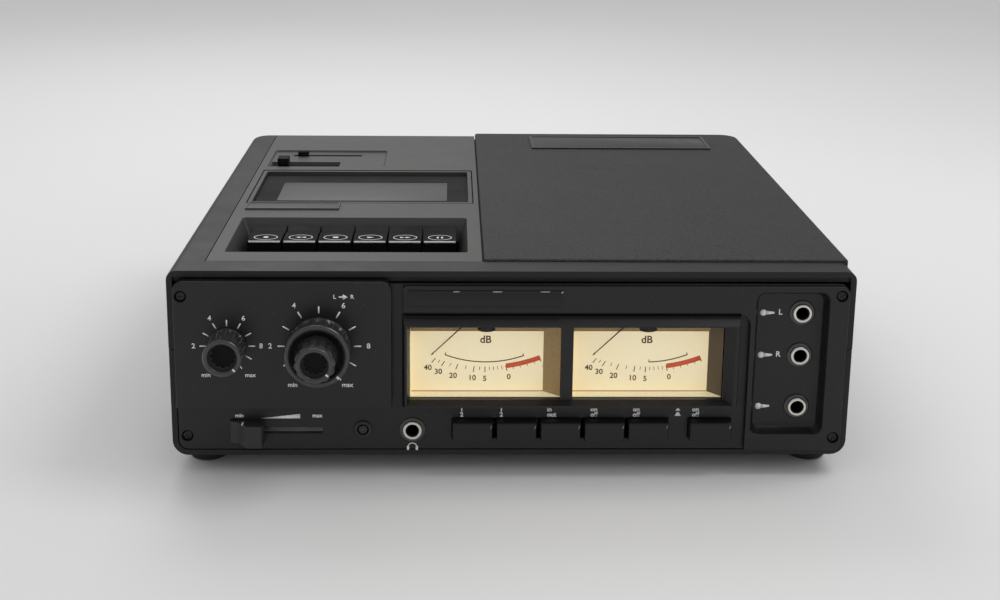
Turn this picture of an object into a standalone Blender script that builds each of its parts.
"""A portable cassette deck: its case, front panel, meters, controls, piano keys, lid and tape transport.

Metres, +Z up, front facing -Y. The case datum is the middle of the case's bottom front edge. All
places below are measured from it: x to the right, depth back from the front face, height up.
"""
import math

import bmesh
import bpy
from mathutils import Matrix, Vector

# Driving dimensions
CASE_WIDTH = 0.350
CASE_DEPTH = 0.318
CASE_HEIGHT = 0.100
WALL = 0.003
SEAM_HEIGHT = 0.058
FIT = 0.0003
OVERRUN = 0.001
TOP_CORNER_RADIUS = 0.005
BOTTOM_CORNER_RADIUS = 0.008
BACK_CORNER_RADIUS = 0.012
FOOT_HEIGHT = 0.0105
FOOT_RADIUS = 0.0115
FOOT_INSET = 0.0145
FOOT_SETBACK = 0.024

# Front panel: the base plate, the raised control block on the left and the raised plate on the right
PANEL_THICKNESS = 0.003
PANEL_TOP = 0.0935
PANEL_CORNER_RADIUS = 0.005
BLOCK_RIGHT = -0.0615
BLOCK_BOTTOM = 0.028
BLOCK_TOP = 0.0957
BLOCK_PROUD = 0.005
BLOCK_CORNER_RADIUS = 0.005
PLATE_LEFT = -0.0558
PLATE_BAND_BOTTOM = 0.0788
PLATE_COLUMN_LEFT = 0.121
PLATE_PROUD = 0.003
PLATE_INNER_RADIUS = 0.007
RIM_ROUNDING = 0.0018
BLOCK_ROUNDING = 0.0030
SCREW_X = 0.1672
SCREW_HIGH = 0.088
SCREW_LOW = 0.0108
SCREW_HEAD_RADIUS = 0.0031
SCREW_HEAD_SINK = 0.0016
SCREW_HOLE_RADIUS = 0.0016
SCREW_BOSS_RADIUS = 0.0034
SCREW_BOSS_LENGTH = 0.012
SCREW_PILOT_RADIUS = 0.0012

# Microphone recess and jacks
RECESS_LEFT = 0.1235
RECESS_RIGHT = 0.1615
RECESS_BOTTOM = 0.0120
RECESS_TOP = 0.0900
RECESS_DEPTH = 0.0065
RECESS_DRAFT = 0.0022
RECESS_RADIUS = 0.004
RECESS_WALL = 0.002
JACK_X = 0.1488
MIC_LEFT_HEIGHT = 0.0770
MIC_RIGHT_HEIGHT = 0.0540
BLEND_MIC_HEIGHT = 0.0257
PHONES_X = -0.0512
PHONES_HEIGHT = 0.0142
JACK_BORE_RADIUS = 0.0033
JACK_RING_RADIUS = 0.0051
JACK_COLLAR_RADIUS = 0.0066
JACK_COLLAR_PROUD = 0.0008
JACK_RING_PROUD = 0.0022
JACK_THREAD_RADIUS = 0.0045
JACK_LENGTH = 0.030
JACK_BODY_RADIUS = 0.0085
JACK_BODY_START = 0.0015

# Meters
BEZEL_LEFT = -0.0549
BEZEL_RIGHT = 0.1152
BEZEL_BOTTOM = 0.0287
BEZEL_TOP = 0.0730
BEZEL_PROUD = 0.006
BEZEL_FLARE = 0.0015
BEZEL_TOP_FLARE = 0.0045
BEZEL_RIM = 0.0008
WINDOW_LEFT = -0.0526
WINDOW_WIDTH = 0.0777
WINDOW_PITCH = 0.0837
WINDOW_BOTTOM = 0.0335
WINDOW_TOP = 0.0722
WINDOW_PROUD = 0.002
LENS_THICKNESS = 0.002
LENS_LAP = 0.0015
METER_DEPTH = 0.016
METER_WALL = 0.0015
METER_TOP = 0.0890
METER_SLOPE = 0.008
DIAL_SETBACK = 0.006
PIVOT_X_IN_WINDOW = 0.0395
PIVOT_HEIGHT = 0.0832
NEEDLE_LENGTH = 0.0405
NEEDLE_WIDTH = 0.0009
NEEDLE_THICKNESS = 0.0006
NEEDLE_HUB_RADIUS = 0.0025
NEEDLE_SETBACK = 0.0065
NEEDLE_REST_DEGREES = 43.0

# Knobs
KNOB_HEIGHT = 0.0618
BLEND_X = -0.1444
LEVEL_X = -0.0980
BLEND_KNOB_RADIUS = 0.0092
BLEND_KNOB_LENGTH = 0.0175
OUTER_KNOB_RADIUS = 0.0150
OUTER_KNOB_LENGTH = 0.0150
INNER_KNOB_RADIUS = 0.0089
INNER_KNOB_LENGTH = 0.0270
KNOB_CUP_DEPTH = 0.0040
KNOB_LIP = 0.0022
KNOB_SKIRT = 0.0010
SCALLOP_DEPTH = 0.0005
SHAFT_RADIUS = 0.0030
SLEEVE_WALL = 0.0012
POT_RADIUS = 0.0100
POT_LENGTH = 0.0150
POT_NECK_RADIUS = 0.0055

# Slider, lamp and push buttons under the block
SLOT_LEFT = -0.1452
SLOT_RIGHT = -0.0974
SLOT_HEIGHT = 0.0137
SLOT_WIDTH = 0.0034
SLIDER_WIDTH = 0.0176
SLIDER_RISE = 0.0120
SLIDER_PROUD = 0.0090
SLIDER_STEM = 0.0060
SLIDER_RIDGE = 0.0085
SLIDER_POT_DEPTH = 0.0100
LAMP_X = -0.0767
LAMP_HEIGHT = 0.0144
LAMP_RING_RADIUS = 0.0048
LAMP_LENS_RADIUS = 0.0029
LAMP_LENGTH = 0.0120
LAMP_PROUD = 0.0018
BUTTON_FIRST = -0.0307
BUTTON_WIDTH = 0.0212
BUTTON_PITCH = 0.0227
BUTTON_BOTTOM = 0.0096
BUTTON_RISE = 0.0109
BUTTON_PROUD = 0.0055
BUTTON_BEHIND = 0.0080
BUTTON_TAPER = 0.0005
POWER_LEFT = 0.0918
POWER_WIDTH = 0.0222
BUTTON_TRAVEL = 0.0035
STEM_SIZE = 0.0050
STEM_LENGTH = 0.0120
BANK_DEPTH = 0.0220
BANK_MARGIN = 0.0030

# Top: strip, deck panel and padded cover
TOP_SKIN = 0.006
STRIP_DEPTH = 0.0160
LIP_HEIGHT = 0.0032
LIP_SETBACK = 0.0022
DECK_THICKNESS = 0.003
DECK_LEFT = -0.1582
DECK_RIGHT = -0.0150
BACK_STRIP = 0.004
LEDGE = 0.004
PAD_CROWN = 0.0012
PAD_ROUNDING = 0.0022

# Piano keys in their recess
KEY_RECESS_LEFT = -0.1505
KEY_RECESS_RIGHT = -0.0229
KEY_RECESS_FRONT = 0.0323
KEY_RECESS_BACK = 0.0979
KEY_RECESS_DEPTH = 0.013
KEY_RECESS_DRAFT = 0.005
KEY_RECESS_FRONT_DRAFT = 0.010
KEY_RECESS_WALL = 0.0015
KEY_WIDTH = 0.0183
KEY_PITCH = 0.01915
KEY_ROW_MIDDLE = -0.0857
KEY_FRONT = 0.0595
KEY_BACK = 0.0920
KEY_DROP = 0.0025
KEY_FACE = 0.0135
KEY_SKIN = 0.0025
KEY_PIVOT_DEPTH = 0.1040
KEY_PIVOT_HEIGHT = 0.0840
KEY_BOSS_RADIUS = 0.0040
KEY_ROD_RADIUS = 0.0015
EAR_THICKNESS = 0.0020
EAR_HALF_WIDTH = 0.0045

# Cassette lid
LID_LEFT = -0.1530
LID_RIGHT = -0.0190
LID_FRONT = 0.1300
LID_BACK = 0.2085
LID_BACK_CLEARANCE = 0.0024
LID_CLEARANCE = 0.0006
LID_SKIN = 0.0056
LID_SKIRT = 0.0080
LID_RIM = 0.0028
PANE_THICKNESS = 0.0015
PANE_SINK = 0.0024
LID_WINDOW_LEFT = -0.1380
LID_WINDOW_RIGHT = -0.0335
LID_WINDOW_FRONT = 0.1425
LID_WINDOW_BACK = 0.1885
LID_AXIS_SETIN = 0.0016
LID_AXIS_DROP = 0.0032
TRUNNION_RADIUS = 0.0012
TRUNNION_LENGTH = 0.0020
LID_EAR = 0.0042
LID_EAR_REACH = 0.0026

# Rear controls on the deck panel
TRAY_LEFT = -0.1526
TRAY_RIGHT = -0.0760
TRAY_FRONT = 0.2190
TRAY_BACK = 0.2666
TRAY_DEPTH = 0.0012
THIN_SLOT_LEFT = -0.1385
THIN_KNOB_LEFT = -0.1362
THIN_SLOT_RIGHT = -0.0934
THIN_SLOT_DEPTH = 0.2558
THIN_SLOT_WIDTH = 0.0024
WIDE_SLOT_LEFT = -0.1505
WIDE_KNOB_LEFT = -0.1469
WIDE_SLOT_RIGHT = -0.1058
WIDE_SLOT_DEPTH = 0.2315
WIDE_SLOT_WIDTH = 0.0040
CHANNEL_LEFT = -0.1515
CHANNEL_RIGHT = -0.1060
CHANNEL_FRONT = 0.2243
CHANNEL_BACK = 0.2370
CHANNEL_DEPTH = 0.0009
SLIDE_KNOB_WIDTH = 0.0072
SLIDE_KNOB_RISE = 0.0060
SLIDE_KNOB_REACH = 0.0060
SLIDE_FOOT = 0.0015

# Transport
CASSETTE_LEFT = -0.1362
CASSETTE_FRONT = 0.1370
CASSETTE_WIDTH = 0.1004
CASSETTE_DEPTH = 0.0638
HUB_SPACING = 0.0425
HUB_SETBACK = 0.0294
CAPSTAN_OFFSET = 0.0276
CAPSTAN_SETBACK = 0.0062
WELL_MARGIN = 0.0018
WELL_HEIGHT = 0.0915
CHASSIS_TOP = 0.0780
CHASSIS_THICKNESS = 0.0015
CHASSIS_LEFT = -0.1620
CHASSIS_RIGHT = -0.0180
CHASSIS_FRONT = 0.0985
CHASSIS_BACK = 0.2160
HEAD_GATE_LEFT = -0.1200
HEAD_GATE_RIGHT = -0.0440
POST_INSET = 0.0065
POST_RADIUS = 0.0040
SPINDLE_SHAFT_RADIUS = 0.0040
SPINDLE_HUB_RADIUS = 0.0032
SPINDLE_SPLINE_RADIUS = 0.0045
SPINDLE_SPLINE_WIDTH = 0.0012
SPINDLE_TOP = 0.0895
REEL_TABLE_RADIUS = 0.0110
REEL_TABLE_TOP = 0.0735
REEL_TABLE_THICKNESS = 0.0035
CAPSTAN_RADIUS = 0.00125
CAPSTAN_TOP = 0.0880
BEARING_RADIUS = 0.0050
FLYWHEEL_RADIUS = 0.0350
FLYWHEEL_TOP = 0.0660
FLYWHEEL_THICKNESS = 0.0080
FLYWHEEL_WEB = 0.0030
FLYWHEEL_RIM = 0.0060
FLYWHEEL_TAIL = 0.0040
MOTOR_X = -0.1250
MOTOR_DEPTH_PLACE = 0.1900
MOTOR_RADIUS = 0.0170
MOTOR_BOTTOM = 0.0220
MOTOR_TOP = 0.0560
MOTOR_SHAFT_RADIUS = 0.0010
MOTOR_SHAFT_TOP = 0.0660
MOTOR_SEAT_RADIUS = 0.0120
PULLEY_RADIUS = 0.0040
PULLEY_FLANGE = 0.0016
BELT_THICKNESS = 0.0008
BELT_HEIGHT = 0.0030
BRIDGE_LEFT = -0.1180
BRIDGE_RIGHT = -0.0700
BRIDGE_FRONT = 0.1092
BRIDGE_BACK = 0.1270
BRIDGE_THICKNESS = 0.0015
HEAD_WIDTH = 0.0140
HEAD_FRONT = 0.1170
HEAD_BACK = 0.1285
HEAD_RISE = 0.0105
ERASE_X = -0.1075
ERASE_WIDTH = 0.0090
PINCH_PIVOT_X = -0.0400
PINCH_PIVOT_DEPTH = 0.1250
PINCH_ROLLER_X = -0.0600
PINCH_ROLLER_DEPTH = 0.1290
PINCH_ROLLER_RADIUS = 0.0065
PINCH_ROLLER_HEIGHT = 0.0070
PINCH_ARM_WIDTH = 0.0060
PINCH_PIN_RADIUS = 0.0012

# Battery bay, circuit board and rear sockets
BAY_LEFT = 0.0300
BAY_RIGHT = 0.1580
BAY_FRONT = 0.0800
BAY_BACK = 0.1560
BAY_HEIGHT = 0.0400
COVER_LAP = 0.0020
COVER_THICKNESS = 0.0013
COVER_TRAVEL = 0.0120
BOARD_LEFT = -0.0080
BOARD_RIGHT = 0.1600
BOARD_FRONT = 0.0500
BOARD_BACK = 0.2900
BOARD_HEIGHT = 0.0540
BOARD_THICKNESS = 0.0016
CAPACITOR_RADIUS = 0.0080
CAPACITOR_RISE = 0.0250
SOCKET_FIRST_X = 0.0700
SOCKET_SPACING = 0.0180
SOCKET_HEIGHT = 0.0300
SOCKET_RADIUS = 0.0042
SOCKET_BORE = 0.0018
SOCKET_BLOCK_DEPTH = 0.0120
SOCKET_SINK = 0.0080
SOCKET_MARGIN = 0.0080

# Shapes that repeat
KEY_NAMES = ("key_record", "key_rewind", "key_stop", "key_play", "key_forward", "key_pause")
BUTTON_NAMES = ("meter_button", "tape_button", "noise_button", "limiter_button", "lamp_button")
SOCKET_COUNT = 4
SPLINE_COUNT = 3
SCALLOP_COUNT = 14
ROUND_STEPS = 20
SMALL_STEPS = 14
ARC_STEPS = 3

KNOB_REACH = BLOCK_PROUD + FIT + INNER_KNOB_LENGTH
TOTAL_DEPTH = KNOB_REACH + CASE_DEPTH
DATUM = Vector((0, KNOB_REACH - TOTAL_DEPTH / 2, FOOT_HEIGHT))

UP = (0, 0, 0)
FRONT = (math.pi / 2, 0, 0)
SIDE = (math.pi / 2, 0, math.pi / 2)


def clear_scene():
    for obj in list(bpy.data.objects):
        bpy.data.objects.remove(obj, do_unlink=True)


def new_collection(name):
    made = bpy.data.collections.new(name)
    bpy.context.scene.collection.children.link(made)
    return made


clear_scene()
DECK = new_collection("cassette_deck")
CUTTERS = new_collection("cutters")
datum = bpy.data.objects.new("case_datum", None)
datum.location = DATUM
DECK.objects.link(datum)


def finish(name, colour, roughness, metallic=0.0):
    made = bpy.data.materials.new(name)
    made.use_nodes = True
    shader = made.node_tree.nodes["Principled BSDF"]
    shader.inputs["Base Color"].default_value = (*colour, 1)
    shader.inputs["Roughness"].default_value = roughness
    shader.inputs["Metallic"].default_value = metallic
    return made


BLACK_PLASTIC = finish("black_moulded_plastic", (0.022, 0.022, 0.024), 0.5)
DECK_GREY = finish("deck_satin_grey", (0.045, 0.045, 0.047), 0.38)
GRAINED = finish("grained_cover", (0.04, 0.04, 0.042), 0.6)
RUBBER = finish("black_rubber", (0.015, 0.015, 0.015), 0.85)
NICKEL = finish("bright_nickel", (0.75, 0.74, 0.72), 0.25, 1.0)
STEEL = finish("plated_steel", (0.6, 0.6, 0.58), 0.35, 1.0)
BRASS = finish("brass", (0.7, 0.55, 0.28), 0.3, 1.0)
CREAM = finish("meter_ivory", (0.85, 0.76, 0.55), 0.5)
CLEAR = finish("clear_acrylic", (0.8, 0.82, 0.82), 0.08)
SMOKED = finish("smoked_acrylic", (0.1, 0.1, 0.1), 0.1)
RED_LENS = finish("red_lens", (0.3, 0.02, 0.015), 0.2)
BOARD_GREEN = finish("board_green", (0.05, 0.15, 0.06), 0.5)
SCREW_BLACK = finish("black_steel", (0.03, 0.03, 0.03), 0.4, 0.6)


def add(name, mesh, material=None, at=(0, 0, 0), turn=UP):
    """A named object on the case datum. Without a material it is a cutter or another helper."""
    obj = bpy.data.objects.new(name, mesh)
    obj.parent = datum
    obj.location = at
    obj.rotation_euler = turn
    if material is None:
        obj.hide_render = True
        obj.display_type = "WIRE"
        CUTTERS.objects.link(obj)
    else:
        mesh.materials.append(material)
        DECK.objects.link(obj)
    return obj


def mesh_from(name, build):
    mesh = bpy.data.meshes.new(name)
    shape = bmesh.new()
    build(shape)
    bmesh.ops.recalc_face_normals(shape, faces=shape.faces)
    shape.to_mesh(mesh)
    shape.free()
    return mesh


def block(name, low, high, material=None, rounding=0, at=(0, 0, 0), turn=UP):
    """A box between two corners, with its edges rounded."""
    size = Vector(high) - Vector(low)
    middle = (Vector(high) + Vector(low)) / 2

    def build(shape):
        bmesh.ops.create_cube(shape, size=1)
        bmesh.ops.scale(shape, vec=size, verts=shape.verts)
        bmesh.ops.translate(shape, vec=middle, verts=shape.verts)

    obj = add(name, mesh_from(name, build), material, at, turn)
    if rounding:
        edge = obj.modifiers.new("rounding", "BEVEL")
        edge.width = rounding
        edge.segments = 2
    return obj


def tapered(name, low, high, shrink, material=None, at=(0, 0, 0), turn=UP):
    """A box whose lower face is drawn in by shrink = (left, right, near, far)."""
    left, right, near, far = shrink
    (x0, y0, z0), (x1, y1, z1) = low, high

    def build(shape):
        bmesh.ops.create_cube(shape, size=1)
        for vert in shape.verts:
            lower = vert.co.z < 0
            is_left = vert.co.x < 0
            is_near = vert.co.y < 0
            x = (x0 + (left if lower else 0)) if is_left else (x1 - (right if lower else 0))
            y = (y0 + (near if lower else 0)) if is_near else (y1 - (far if lower else 0))
            vert.co = (x, y, z0 if lower else z1)

    return add(name, mesh_from(name, build), material, at, turn)


def rod(name, radius, low, high, material=None, at=(0, 0, 0), turn=UP, steps=SMALL_STEPS, top_radius=None):
    """A cylinder or cone from low to high along its own axis."""

    def build(shape):
        bmesh.ops.create_cone(
            shape, cap_ends=True, segments=steps, radius1=radius,
            radius2=radius if top_radius is None else top_radius, depth=high - low,
        )
        bmesh.ops.translate(shape, vec=(0, 0, (low + high) / 2), verts=shape.verts)

    obj = add(name, mesh_from(name, build), material, at, turn)
    obj.data.shade_smooth()
    obj.data.set_sharp_from_angle(angle=math.radians(40))
    return obj


def turned(name, profile, material=None, at=(0, 0, 0), turn=UP, steps=ROUND_STEPS):
    """A profile of (radius, height) points, top to bottom down its outer side, turned about its axis."""

    def build(shape):
        verts = [shape.verts.new((radius, 0, height)) for radius, height in profile]
        for first, second in zip(verts, verts[1:]):
            shape.edges.new((first, second))
        if profile[0][0] > 0:
            shape.edges.new((verts[-1], verts[0]))

    mesh = bpy.data.meshes.new(name)
    shape = bmesh.new()
    build(shape)
    shape.to_mesh(mesh)
    shape.free()
    obj = add(name, mesh, material, at, turn)
    screw = obj.modifiers.new("turn", "SCREW")
    screw.axis = "Z"
    screw.steps = steps
    screw.render_steps = steps
    screw.use_merge_vertices = True
    screw.merge_threshold = CAPSTAN_RADIUS / 100
    screw.use_smooth_shade = True
    return obj


def filleted(corners, steps=ARC_STEPS):
    """An outline through corners of (x, y, radius), each one rounded by an arc."""
    points = []
    count = len(corners)
    for index, (x, y, radius) in enumerate(corners):
        here = Vector((x, y))
        if radius == 0:
            points.append((x, y))
            continue
        before = (Vector(corners[index - 1][:2]) - here).normalized()
        after = (Vector(corners[(index + 1) % count][:2]) - here).normalized()
        half = before.angle(after) / 2
        centre = here + (before + after).normalized() * (radius / math.sin(half))
        start = here + before * (radius / math.tan(half)) - centre
        end = here + after * (radius / math.tan(half)) - centre
        sweep = start.angle_signed(end)
        for step in range(steps + 1):
            angle = -sweep * step / steps
            spoke = Matrix.Rotation(angle, 2) @ start
            points.append(tuple(centre + spoke))
    return points


def rectangle(left, right, low, high, radius=0):
    return filleted([(left, low, radius), (right, low, radius), (right, high, radius), (left, high, radius)])


def circle(x, y, radius, steps=SMALL_STEPS):
    return [
        (x + radius * math.cos(2 * math.pi * n / steps), y + radius * math.sin(2 * math.pi * n / steps))
        for n in range(steps)
    ]


def slab(name, outlines, low, high, material=None, at=(0, 0, 0), turn=UP, rounding=0):
    """A flat outline with its holes, extruded from low to high, with its upper rim rounded."""
    curve = bpy.data.curves.new(name, "CURVE")
    curve.dimensions = "2D"
    curve.fill_mode = "BOTH"
    curve.extrude = (high - low) / 2
    for outline in outlines:
        spline = curve.splines.new("POLY")
        spline.points.add(len(outline) - 1)
        for point, (x, y) in zip(spline.points, outline):
            point.co = (x, y, 0, 1)
        spline.use_cyclic_u = True
    drawn = bpy.data.objects.new(name, curve)
    CUTTERS.objects.link(drawn)
    graph = bpy.context.evaluated_depsgraph_get()
    mesh = bpy.data.meshes.new_from_object(drawn.evaluated_get(graph))
    bpy.data.objects.remove(drawn)
    mesh.transform(Matrix.Translation((0, 0, (low + high) / 2)))
    shape = bmesh.new()
    shape.from_mesh(mesh)
    bmesh.ops.remove_doubles(shape, verts=shape.verts, dist=FIT / 100)
    bmesh.ops.recalc_face_normals(shape, faces=shape.faces)
    if rounding:
        rim = [
            edge for edge in shape.edges
            if all(abs(vert.co.z - high) < FIT / 100 for vert in edge.verts)
            and any(abs(face.normal.z) < 0.5 for face in edge.link_faces)
        ]
        bmesh.ops.bevel(shape, geom=rim, offset=rounding, segments=2, profile=0.5, affect="EDGES")
    shape.to_mesh(mesh)
    shape.free()
    mesh.materials.clear()
    return add(name, mesh, material, at, turn)


def combine(obj, other, operation):
    step = obj.modifiers.new(other.name, "BOOLEAN")
    step.operation = operation
    step.solver = "EXACT"
    step.object = other


def cut(obj, *others):
    for other in others:
        combine(obj, other, "DIFFERENCE")


def join(obj, *others):
    for other in others:
        combine(obj, other, "UNION")


def front_place(x, height, proud=0):
    return (x, -proud, height)


# Values that several pieces share
HALF_WIDTH = CASE_WIDTH / 2
INNER_HALF = HALF_WIDTH - WALL
MIC_JACKS = (
    ("mic_jack_left", MIC_LEFT_HEIGHT),
    ("mic_jack_right", MIC_RIGHT_HEIGHT),
    ("blend_mic_jack", BLEND_MIC_HEIGHT),
)
RECESS_FLOOR = PLATE_PROUD - RECESS_DEPTH
WINDOWS = (("left", WINDOW_LEFT), ("right", WINDOW_LEFT + WINDOW_PITCH))
CASSETTE_MIDDLE = CASSETTE_LEFT + CASSETTE_WIDTH / 2
HUB_DEPTH = CASSETTE_FRONT + HUB_SETBACK
CAPSTAN_X = CASSETTE_MIDDLE + CAPSTAN_OFFSET
CAPSTAN_DEPTH = CASSETTE_FRONT + CAPSTAN_SETBACK
CHASSIS_BOTTOM = CHASSIS_TOP - CHASSIS_THICKNESS
CHASSIS_POSTS = [
    (x, depth)
    for x in (CHASSIS_LEFT + POST_INSET, CHASSIS_RIGHT - POST_INSET)
    for depth in (CHASSIS_FRONT + POST_INSET, CHASSIS_BACK - POST_INSET)
]
BOARD_POSTS = [
    (x, depth)
    for x in (BOARD_LEFT + POST_INSET, BOARD_RIGHT - POST_INSET)
    for depth in (BOARD_FRONT + POST_INSET, BOARD_BACK - POST_INSET)
]
LID_AXIS = (0, LID_BACK - LID_AXIS_SETIN, CASE_HEIGHT - LID_AXIS_DROP)
KEY_PIVOT = (0, KEY_PIVOT_DEPTH, KEY_PIVOT_HEIGHT)
BUTTONS = [(name, BUTTON_FIRST + n * BUTTON_PITCH, BUTTON_WIDTH) for n, name in enumerate(BUTTON_NAMES)]
BUTTONS.append(("power_button", POWER_LEFT, POWER_WIDTH))


def case_shell(name, low, high, inset, back, corner, at_top, material=None):
    """A block as wide and deep as the case less an inset, rounded at its back corners and along its rim."""
    half = HALF_WIDTH - inset
    front = -OVERRUN if inset else 0
    outline = filleted([
        (-half, front, 0), (half, front, 0),
        (half, back, BACK_CORNER_RADIUS - inset), (-half, back, BACK_CORNER_RADIUS - inset),
    ])
    obj = slab(name, [outline], low, high, material)
    shape = bmesh.new()
    shape.from_mesh(obj.data)
    level = high if at_top else low
    rim = [
        edge for edge in shape.edges
        if all(abs(vert.co.z - level) < FIT / 100 for vert in edge.verts)
        and any(abs(face.normal.z) < 0.5 for face in edge.link_faces)
        and not all(abs(vert.co.y - front) < FIT / 100 for vert in edge.verts)
    ]
    bmesh.ops.bevel(shape, geom=rim, offset=corner, segments=ARC_STEPS, profile=0.5, affect="EDGES")
    shape.to_mesh(obj.data)
    shape.free()
    return obj


def bottom_case():
    shell = case_shell("bottom_case", 0, SEAM_HEIGHT, 0, CASE_DEPTH, BOTTOM_CORNER_RADIUS, False, BLACK_PLASTIC)
    cut(shell, case_shell(
        "bottom_hollow", WALL, SEAM_HEIGHT + OVERRUN, WALL, CASE_DEPTH - WALL, BOTTOM_CORNER_RADIUS - WALL, False))
    bay_wall = slab(
        "bay_walls",
        [rectangle(BAY_LEFT - WALL, BAY_RIGHT + WALL, BAY_FRONT - WALL, BAY_BACK + WALL)],
        WALL / 2, BAY_HEIGHT,
    )
    join(shell, bay_wall)
    cut(shell, block(
        "bay_hollow", (BAY_LEFT, BAY_FRONT, -OVERRUN), (BAY_RIGHT, BAY_BACK, BAY_HEIGHT - WALL)))
    cut(shell, block(
        "cover_track",
        (BAY_LEFT - COVER_LAP - FIT, BAY_FRONT - COVER_LAP - FIT, -OVERRUN),
        (BAY_RIGHT + COVER_LAP + FIT, BAY_BACK + COVER_LAP + FIT + COVER_TRAVEL, COVER_THICKNESS + FIT),
    ))
    for n, (x, depth) in enumerate(CHASSIS_POSTS):
        join(shell, rod(f"chassis_post_{n}", POST_RADIUS, WALL / 2, CHASSIS_BOTTOM - FIT, at=(x, depth, 0)))
    for n, (x, depth) in enumerate(BOARD_POSTS):
        join(shell, rod(f"board_post_{n}", POST_RADIUS, WALL / 2, BOARD_HEIGHT - FIT, at=(x, depth, 0)))
    join(shell, rod(
        "motor_seat", MOTOR_SEAT_RADIUS, WALL / 2, MOTOR_BOTTOM - FIT, at=(MOTOR_X, MOTOR_DEPTH_PLACE, 0)))
    for side in (-1, 1):
        join(shell, screw_boss(f"low_boss_{side}", side, SCREW_LOW))
        cut(shell, screw_pilot(f"low_pilot_{side}", side, SCREW_LOW))
    cut(shell, block(
        "socket_window",
        (SOCKET_FIRST_X - SOCKET_MARGIN, CASE_DEPTH - WALL - OVERRUN, SOCKET_HEIGHT - SOCKET_MARGIN),
        (socket_x(SOCKET_COUNT - 1) + SOCKET_MARGIN, CASE_DEPTH + OVERRUN, SOCKET_HEIGHT + SOCKET_MARGIN),
    ))
    return shell


def screw_boss(name, side, height):
    ends = sorted((side * (SCREW_X - SCREW_BOSS_RADIUS), side * (INNER_HALF + OVERRUN)))
    back = -PANEL_THICKNESS - FIT
    return block(
        name, (ends[0], height - SCREW_BOSS_RADIUS, back - SCREW_BOSS_LENGTH),
        (ends[1], height + SCREW_BOSS_RADIUS, back), turn=FRONT)


def screw_pilot(name, side, height):
    return rod(
        name, SCREW_PILOT_RADIUS, -PANEL_THICKNESS - SCREW_BOSS_LENGTH, OVERRUN,
        at=front_place(side * SCREW_X, height), turn=FRONT)


def socket_x(n):
    return SOCKET_FIRST_X + n * SOCKET_SPACING


def top_frame():
    shell = case_shell(
        "top_frame", SEAM_HEIGHT + FIT, CASE_HEIGHT, 0, CASE_DEPTH, TOP_CORNER_RADIUS, True, BLACK_PLASTIC)
    inner = filleted([
        (-INNER_HALF, -OVERRUN, 0), (INNER_HALF, -OVERRUN, 0),
        (INNER_HALF, CASE_DEPTH - WALL, BACK_CORNER_RADIUS - WALL),
        (-INNER_HALF, CASE_DEPTH - WALL, BACK_CORNER_RADIUS - WALL),
    ])
    cut(shell, slab("top_hollow", [inner], SEAM_HEIGHT - OVERRUN, CASE_HEIGHT - TOP_SKIN))
    cut(shell, block(
        "lip_groove",
        (-INNER_HALF, -OVERRUN, CASE_HEIGHT - TOP_SKIN - OVERRUN),
        (INNER_HALF, LIP_SETBACK, CASE_HEIGHT - LIP_HEIGHT),
    ))
    deck_back = CASE_DEPTH - BACK_STRIP
    cut(shell, block(
        "deck_seat",
        (DECK_LEFT, STRIP_DEPTH, CASE_HEIGHT - DECK_THICKNESS - FIT),
        (DECK_RIGHT, deck_back, CASE_HEIGHT + OVERRUN),
    ))
    cut(shell, block(
        "deck_opening",
        (DECK_LEFT + LEDGE, STRIP_DEPTH + LEDGE, CASE_HEIGHT - TOP_SKIN - OVERRUN),
        (DECK_RIGHT - LEDGE, deck_back - LEDGE, CASE_HEIGHT),
    ))
    cut(shell, block(
        "lid_ear_notch",
        (DECK_LEFT + FIT * 2, LID_AXIS[1] - LID_EAR - OVERRUN, CASE_HEIGHT - TOP_SKIN - OVERRUN),
        (DECK_RIGHT - FIT * 2, LID_AXIS[1] + LID_EAR + OVERRUN, CASE_HEIGHT),
    ))
    cut(shell, block(
        "pad_seat",
        (DECK_RIGHT - FIT, STRIP_DEPTH, CASE_HEIGHT - DECK_THICKNESS - FIT),
        (HALF_WIDTH + OVERRUN, CASE_DEPTH + OVERRUN, CASE_HEIGHT + OVERRUN),
    ))
    for side in (-1, 1):
        join(shell, screw_boss(f"high_boss_{side}", side, SCREW_HIGH))
        cut(shell, screw_pilot(f"high_pilot_{side}", side, SCREW_HIGH))
    return shell


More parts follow.
